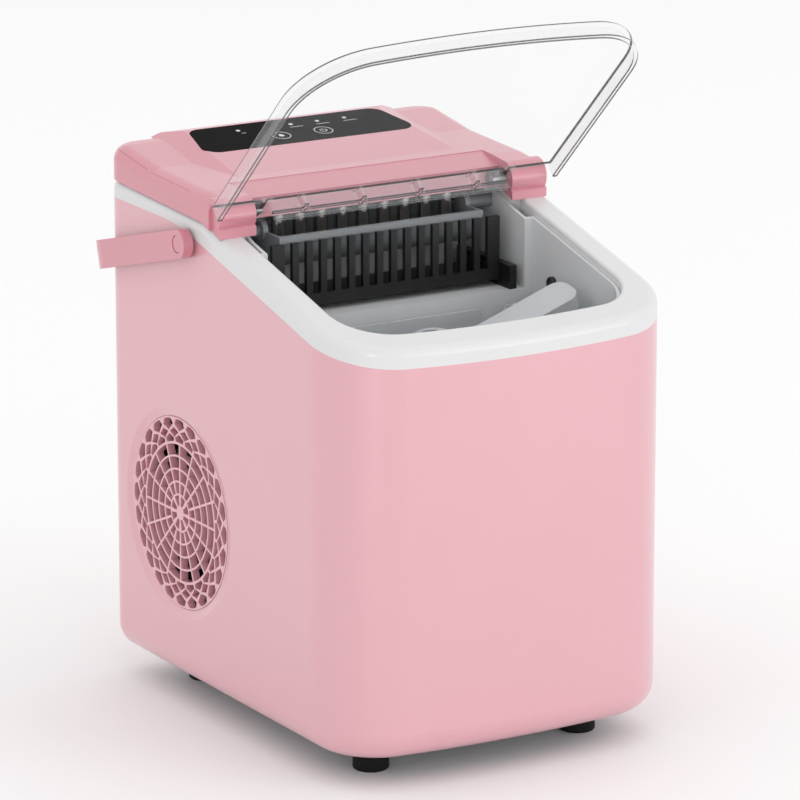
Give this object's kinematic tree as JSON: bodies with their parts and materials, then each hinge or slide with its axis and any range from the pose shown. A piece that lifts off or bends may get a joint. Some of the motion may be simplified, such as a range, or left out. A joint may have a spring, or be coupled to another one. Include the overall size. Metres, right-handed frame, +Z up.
{
  "type": "portable ice maker",
  "caption": "Compact counter-top ice maker: rounded body with a side air grille, clear hinged lid over the ice bin, raised touch-control cover and a swinging carry handle.",
  "frame": {"origin": "on the floor, under the middle of the body", "axes": "+X to the right seen from the front, +Y to the rear, +Z up"},
  "size_m": [0.2388, 0.3002, 0.4221],
  "materials": {
    "pink_casing": "semi-gloss pink",
    "pink_top": "semi-gloss pink, slightly deeper",
    "white_rim": "semi-gloss white",
    "white_liner": "satin white",
    "foam": "matt foam",
    "frosted_plastic": "frosted translucent",
    "black_glass": "polished black",
    "clear_plastic": "clear, polished",
    "black_rubber": "matt black",
    "steel": "zinc plated",
    "pink_pivot": "semi-gloss pink",
    "galvanised": "galvanised sheet",
    "black_plastic": "satin black",
    "grey_plastic": "satin grey",
    "nickel": "bright nickel",
    "fins": "mill finish",
    "copper": "bright copper",
    "valve_brass": "satin",
    "black_enamel": "satin black enamel",
    "motor_steel": "zinc plated",
    "silicone": "translucent silicone",
    "circuit_board": "green solder mask",
    "smoked_plastic": "smoked"
  },
  "bodies": {
    "casing": {"shell_front": "pink_casing", "shell_left": "pink_casing", "shell_right": "pink_casing", "shell_rear": "pink_casing", "rear_panel": "pink_casing", "rear_frame": "galvanised", "rear_panel_screws": "steel", "base_pan": "galvanised", "feet": "black_rubber", "foot_screws": "steel", "top_frame": "white_rim", "bin_liner": "white_liner", "bin_insulation": "foam", "top_cover": "pink_top", "touch_panel": "black_glass", "control_board": "circuit_board", "touch_springs": "nickel", "hinge_pins": "steel", "handle_pivots": "pink_pivot", "handle_nuts": "steel", "side_grille": "pink_casing", "fan_shroud": "black_plastic", "fan_motor": "grey_plastic", "condenser_core": "fins", "condenser_bends": "copper", "condenser_stand": "galvanised", "compressor": "black_enamel", "compressor_mounts": "black_rubber", "compressor_bolts": "steel", "terminal_cover": "black_plastic", "discharge_pipe": "copper", "filter_drier": "copper", "liquid_pipe": "copper", "suction_pipe": "copper", "hot_gas_valve": "valve_brass", "evaporator": "nickel", "evaporator_bracket": "black_plastic", "tray_motor": "motor_steel", "shovel_rails": "black_plastic", "ice_sensors": "smoked_plastic", "level_sensor": "grey_plastic", "water_pump": "grey_plastic", "water_hose": "silicone", "drain_spout": "grey_plastic", "drain_seal": "black_rubber", "cord_gland": "black_plastic", "power_board": "circuit_board", "board_posts": "black_plastic"},
    "lid": {"lid": "clear_plastic"},
    "handle": {"carry_handle": "pink_top"},
    "fan": {"fan_rotor": "black_plastic"},
    "tray": {"water_tray": "grey_plastic"},
    "shovel": {"ice_shovel": "black_plastic"},
    "basket": {"ice_basket": "frosted_plastic"},
    "scoop": {"ice_scoop": "frosted_plastic"},
    "plug": {"drain_plug": "black_rubber"}
  },
  "joints": [
    {"name": "lid_hinge", "type": "hinge", "parent": "casing", "child": "lid", "pos_m": [0, 0.0165, 0.3045], "axis": [-1, 0, 0], "range_deg": [-57.7, 46]},
    {"name": "handle_swing", "type": "hinge", "parent": "casing", "child": "handle", "pos_m": [0, 0.04, 0.2845], "axis": [1, 0, 0], "range_deg": [0, 105]},
    {"name": "fan_spin", "type": "hinge", "parent": "casing", "child": "fan", "pos_m": [-0.09, 0.057, 0.1188], "axis": [1, 0, 0], "continuous": true},
    {"name": "tray_tilt", "type": "hinge", "parent": "casing", "child": "tray", "pos_m": [0, 0.034, 0.288], "axis": [-1, 0, 0], "range_deg": [-55, 0]},
    {"name": "shovel_slide", "type": "slide", "parent": "casing", "child": "shovel", "axis": [0, -1, 0], "range_m": [0, 0.0281]},
    {"name": "basket_lift", "type": "slide", "parent": "casing", "child": "basket", "axis": [0, 0, 1], "range_m": [0, 0.05]},
    {"name": "scoop_lift", "type": "slide", "parent": "basket", "child": "scoop", "axis": [0, 0, 1], "range_m": [0, 0.09]},
    {"name": "plug_pull", "type": "slide", "parent": "casing", "child": "plug", "axis": [1, 0, 0], "range_m": [0, 0.03]}
  ],
  "couplings": [
    {"joint": "shovel_slide", "follows": "tray_tilt", "m_per_rad": -0.02917}
  ]
}
